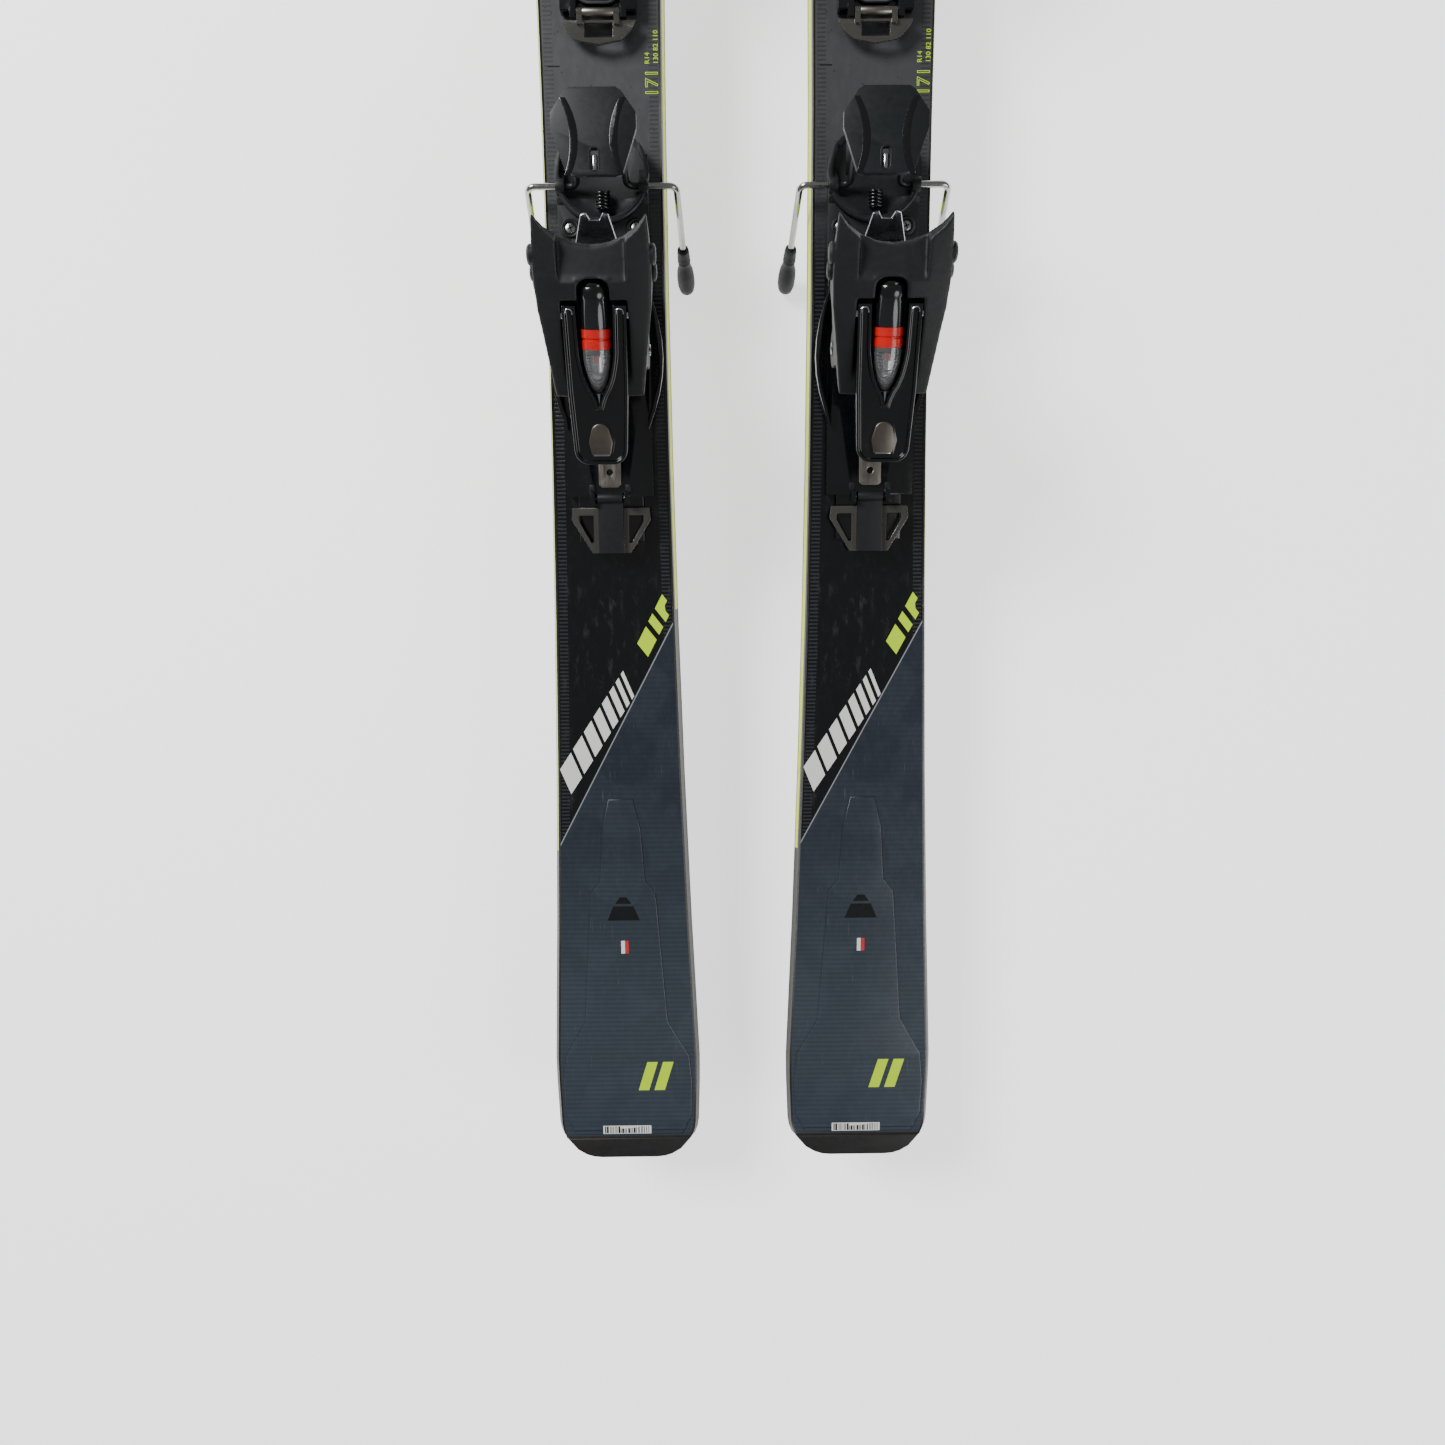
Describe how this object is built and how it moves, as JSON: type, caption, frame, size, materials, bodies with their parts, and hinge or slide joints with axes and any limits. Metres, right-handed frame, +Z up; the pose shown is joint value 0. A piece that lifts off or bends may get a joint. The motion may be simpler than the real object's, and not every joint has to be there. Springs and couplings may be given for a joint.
{
  "type": "pair of alpine skis with bindings",
  "caption": "Alpine skis with sidecut, turned-up shovels, steel edges and rail-mounted release bindings, shown with open heels and ski brakes down.",
  "frame": {"origin": "midway between the skis at half their length, level with the lowest point of the lowered brakes", "axes": "+X across the pair to the right, +Y from the tails to the tips, +Z up from the running bases to the bindings"},
  "size_m": [0.306, 1.71, 0.1795],
  "materials": {
    "running_base": "satin",
    "edge_steel": "brushed",
    "core_wood": "matt",
    "sidewall": "satin",
    "topsheet": "gloss",
    "tail_guard": "matt",
    "binding_gloss": "gloss",
    "binding_matt": "fine grain",
    "smoke_plastic": "translucent look",
    "bright_steel": "polished",
    "satin_steel": "satin",
    "clear_barrel": "gloss",
    "indicator_red": "gloss",
    "brake_plastic": "matt"
  },
  "bodies": {
    "left_ski": {"left_base_sheet": "running_base", "left_steel_edge": "edge_steel", "left_core": "core_wood", "left_sidewall_left": "sidewall", "left_sidewall_right": "sidewall", "left_topsheet": "topsheet", "left_tail_guard": "tail_guard", "left_toe_rail": "binding_gloss", "left_heel_rail": "binding_gloss"},
    "left_toe": {"left_toe_housing": "binding_gloss"},
    "left_toe_wing_left": {"left_toe_wing_left": "binding_gloss"},
    "left_toe_wing_right": {"left_toe_wing_right": "binding_gloss"},
    "left_toe_sole_plate": {"left_toe_sole_plate": "binding_matt"},
    "left_toe_screw": {"left_toe_screw": "bright_steel"},
    "left_toe_latch": {"left_toe_latch": "smoke_plastic"},
    "left_heel": {"left_heel_carriage": "binding_gloss", "left_heel_axle": "bright_steel", "left_heel_pressure_tab": "satin_steel", "left_brake_base": "binding_matt"},
    "left_heel_latch": {"left_heel_latch": "smoke_plastic"},
    "left_heel_cup": {"left_heel_cup": "binding_matt", "left_heel_tongue": "bright_steel", "left_heel_barrel": "clear_barrel"},
    "left_heel_lever": {"left_heel_lever": "binding_gloss"},
    "left_heel_screw": {"left_heel_screw": "binding_matt"},
    "left_heel_indicator": {"left_heel_indicator": "indicator_red"},
    "left_brake": {"left_brake_wire": "bright_steel", "left_brake_tip_left": "brake_plastic", "left_brake_tip_right": "brake_plastic"},
    "left_brake_pedal": {"left_brake_pedal": "binding_matt"},
    "right_ski": {"right_base_sheet": "running_base", "right_steel_edge": "edge_steel", "right_core": "core_wood", "right_sidewall_left": "sidewall", "right_sidewall_right": "sidewall", "right_topsheet": "topsheet", "right_tail_guard": "tail_guard", "right_toe_rail": "binding_gloss", "right_heel_rail": "binding_gloss"},
    "right_toe": {"right_toe_housing": "binding_gloss"},
    "right_toe_wing_left": {"right_toe_wing_left": "binding_gloss"},
    "right_toe_wing_right": {"right_toe_wing_right": "binding_gloss"},
    "right_toe_sole_plate": {"right_toe_sole_plate": "binding_matt"},
    "right_toe_screw": {"right_toe_screw": "bright_steel"},
    "right_toe_latch": {"right_toe_latch": "smoke_plastic"},
    "right_heel": {"right_heel_carriage": "binding_gloss", "right_heel_axle": "bright_steel", "right_heel_pressure_tab": "satin_steel", "right_brake_base": "binding_matt"},
    "right_heel_latch": {"right_heel_latch": "smoke_plastic"},
    "right_heel_cup": {"right_heel_cup": "binding_matt", "right_heel_tongue": "bright_steel", "right_heel_barrel": "clear_barrel"},
    "right_heel_lever": {"right_heel_lever": "binding_gloss"},
    "right_heel_screw": {"right_heel_screw": "binding_matt"},
    "right_heel_indicator": {"right_heel_indicator": "indicator_red"},
    "right_brake": {"right_brake_wire": "bright_steel", "right_brake_tip_left": "brake_plastic", "right_brake_tip_right": "brake_plastic"},
    "right_brake_pedal": {"right_brake_pedal": "binding_matt"}
  },
  "joints": [
    {"name": "left_toe_slide", "type": "slide", "parent": "left_ski", "child": "left_toe", "axis": [0, 1, 0], "range_m": [0, 0.014]},
    {"name": "left_toe_wing_left_turn", "type": "hinge", "parent": "left_toe", "child": "left_toe_wing_left", "pos_m": [-0.113, 0.0695, 0.10711], "axis": [0, 0, 1], "range_deg": [-25, 0], "stiffness_Nm_per_rad": 6, "springref_deg": 5.73},
    {"name": "left_toe_wing_right_turn", "type": "hinge", "parent": "left_toe", "child": "left_toe_wing_right", "pos_m": [-0.063, 0.0695, 0.10711], "axis": [0, 0, 1], "range_deg": [0, 25], "stiffness_Nm_per_rad": 6, "springref_deg": -5.73},
    {"name": "left_toe_sole_plate_slide", "type": "slide", "parent": "left_toe", "child": "left_toe_sole_plate", "axis": [1, 0, 0], "range_m": [-0.004, 0.004], "stiffness_N_per_m": 600},
    {"name": "left_toe_screw_turn", "type": "hinge", "parent": "left_toe", "child": "left_toe_screw", "pos_m": [-0.088, 0.1235, 0.10311], "axis": [0, 1, 0], "range_deg": [-720, 720]},
    {"name": "left_toe_latch_lift", "type": "hinge", "parent": "left_toe", "child": "left_toe_latch", "pos_m": [-0.088, -0.055, 0.08061], "axis": [1, 0, 0], "range_deg": [-35, 0], "stiffness_Nm_per_rad": 0.2, "springref_deg": 11.46},
    {"name": "left_heel_slide", "type": "slide", "parent": "left_ski", "child": "left_heel", "axis": [0, 1, 0], "range_m": [-0.012, 0.006]},
    {"name": "left_heel_latch_lift", "type": "hinge", "parent": "left_heel", "child": "left_heel_latch", "pos_m": [-0.088, -0.356, 0.08521], "axis": [1, 0, 0], "range_deg": [-35, 0], "stiffness_Nm_per_rad": 0.2, "springref_deg": 11.46},
    {"name": "left_heel_step_in", "type": "hinge", "parent": "left_heel", "child": "left_heel_cup", "pos_m": [-0.088, -0.265, 0.11711], "axis": [1, 0, 0], "range_deg": [-38, 0]},
    {"name": "left_heel_lever_lift", "type": "hinge", "parent": "left_heel_cup", "child": "left_heel_lever", "pos_m": [-0.088, -0.25049, 0.15568], "axis": [1, 0, 0], "range_deg": [-14, 0]},
    {"name": "left_heel_screw_turn", "type": "hinge", "parent": "left_heel_cup", "child": "left_heel_screw", "pos_m": [-0.088, -0.27328, 0.14802], "axis": [0, 0.9659, 0.2588], "range_deg": [-1085, 1085]},
    {"name": "left_heel_indicator_slide", "type": "slide", "parent": "left_heel_cup", "child": "left_heel_indicator", "axis": [0, 0.9659, 0.2588], "range_m": [-0.0045, 0.0045]},
    {"name": "left_brake_swing", "type": "hinge", "parent": "left_heel", "child": "left_brake", "pos_m": [-0.088, -0.159, 0.08511], "axis": [1, 0, 0], "range_deg": [-66, 0], "stiffness_Nm_per_rad": 1.6, "springref_deg": 91.67},
    {"name": "left_brake_pedal_turn", "type": "hinge", "parent": "left_brake", "child": "left_brake_pedal", "pos_m": [-0.088, -0.137, 0.12211], "axis": [1, 0, 0], "range_deg": [0, 67]},
    {"name": "right_toe_slide", "type": "slide", "parent": "right_ski", "child": "right_toe", "axis": [0, 1, 0], "range_m": [0, 0.014]},
    {"name": "right_toe_wing_left_turn", "type": "hinge", "parent": "right_toe", "child": "right_toe_wing_left", "pos_m": [0.063, 0.0695, 0.10711], "axis": [0, 0, 1], "range_deg": [-25, 0], "stiffness_Nm_per_rad": 6, "springref_deg": 5.73},
    {"name": "right_toe_wing_right_turn", "type": "hinge", "parent": "right_toe", "child": "right_toe_wing_right", "pos_m": [0.113, 0.0695, 0.10711], "axis": [0, 0, 1], "range_deg": [0, 25], "stiffness_Nm_per_rad": 6, "springref_deg": -5.73},
    {"name": "right_toe_sole_plate_slide", "type": "slide", "parent": "right_toe", "child": "right_toe_sole_plate", "axis": [1, 0, 0], "range_m": [-0.004, 0.004], "stiffness_N_per_m": 600},
    {"name": "right_toe_screw_turn", "type": "hinge", "parent": "right_toe", "child": "right_toe_screw", "pos_m": [0.088, 0.1235, 0.10311], "axis": [0, 1, 0], "range_deg": [-720, 720]},
    {"name": "right_toe_latch_lift", "type": "hinge", "parent": "right_toe", "child": "right_toe_latch", "pos_m": [0.088, -0.055, 0.08061], "axis": [1, 0, 0], "range_deg": [-35, 0], "stiffness_Nm_per_rad": 0.2, "springref_deg": 11.46},
    {"name": "right_heel_slide", "type": "slide", "parent": "right_ski", "child": "right_heel", "axis": [0, 1, 0], "range_m": [-0.012, 0.006]},
    {"name": "right_heel_latch_lift", "type": "hinge", "parent": "right_heel", "child": "right_heel_latch", "pos_m": [0.088, -0.356, 0.08521], "axis": [1, 0, 0], "range_deg": [-35, 0], "stiffness_Nm_per_rad": 0.2, "springref_deg": 11.46},
    {"name": "right_heel_step_in", "type": "hinge", "parent": "right_heel", "child": "right_heel_cup", "pos_m": [0.088, -0.265, 0.11711], "axis": [1, 0, 0], "range_deg": [-38, 0]},
    {"name": "right_heel_lever_lift", "type": "hinge", "parent": "right_heel_cup", "child": "right_heel_lever", "pos_m": [0.088, -0.25049, 0.15568], "axis": [1, 0, 0], "range_deg": [-14, 0]},
    {"name": "right_heel_screw_turn", "type": "hinge", "parent": "right_heel_cup", "child": "right_heel_screw", "pos_m": [0.088, -0.27328, 0.14802], "axis": [0, 0.9659, 0.2588], "range_deg": [-1085, 1085]},
    {"name": "right_heel_indicator_slide", "type": "slide", "parent": "right_heel_cup", "child": "right_heel_indicator", "axis": [0, 0.9659, 0.2588], "range_m": [-0.0045, 0.0045]},
    {"name": "right_brake_swing", "type": "hinge", "parent": "right_heel", "child": "right_brake", "pos_m": [0.088, -0.159, 0.08511], "axis": [1, 0, 0], "range_deg": [-66, 0], "stiffness_Nm_per_rad": 1.6, "springref_deg": 91.67},
    {"name": "right_brake_pedal_turn", "type": "hinge", "parent": "right_brake", "child": "right_brake_pedal", "pos_m": [0.088, -0.137, 0.12211], "axis": [1, 0, 0], "range_deg": [0, 67]},
    {"name": "pair_spread", "type": "slide", "parent": "left_ski", "child": "right_ski", "axis": [1, 0, 0], "range_m": [0, 0.1]}
  ],
  "couplings": [
    {"joint": "left_heel_lever_lift", "follows": "left_heel_step_in", "ratio": 0.35},
    {"joint": "left_heel_screw_turn", "follows": "left_heel_indicator_slide", "rad_per_m": 4188.8},
    {"joint": "left_brake_pedal_turn", "follows": "left_brake_swing", "ratio": -1},
    {"joint": "right_heel_lever_lift", "follows": "right_heel_step_in", "ratio": 0.35},
    {"joint": "right_heel_screw_turn", "follows": "right_heel_indicator_slide", "rad_per_m": 4188.8},
    {"joint": "right_brake_pedal_turn", "follows": "right_brake_swing", "ratio": -1}
  ]
}
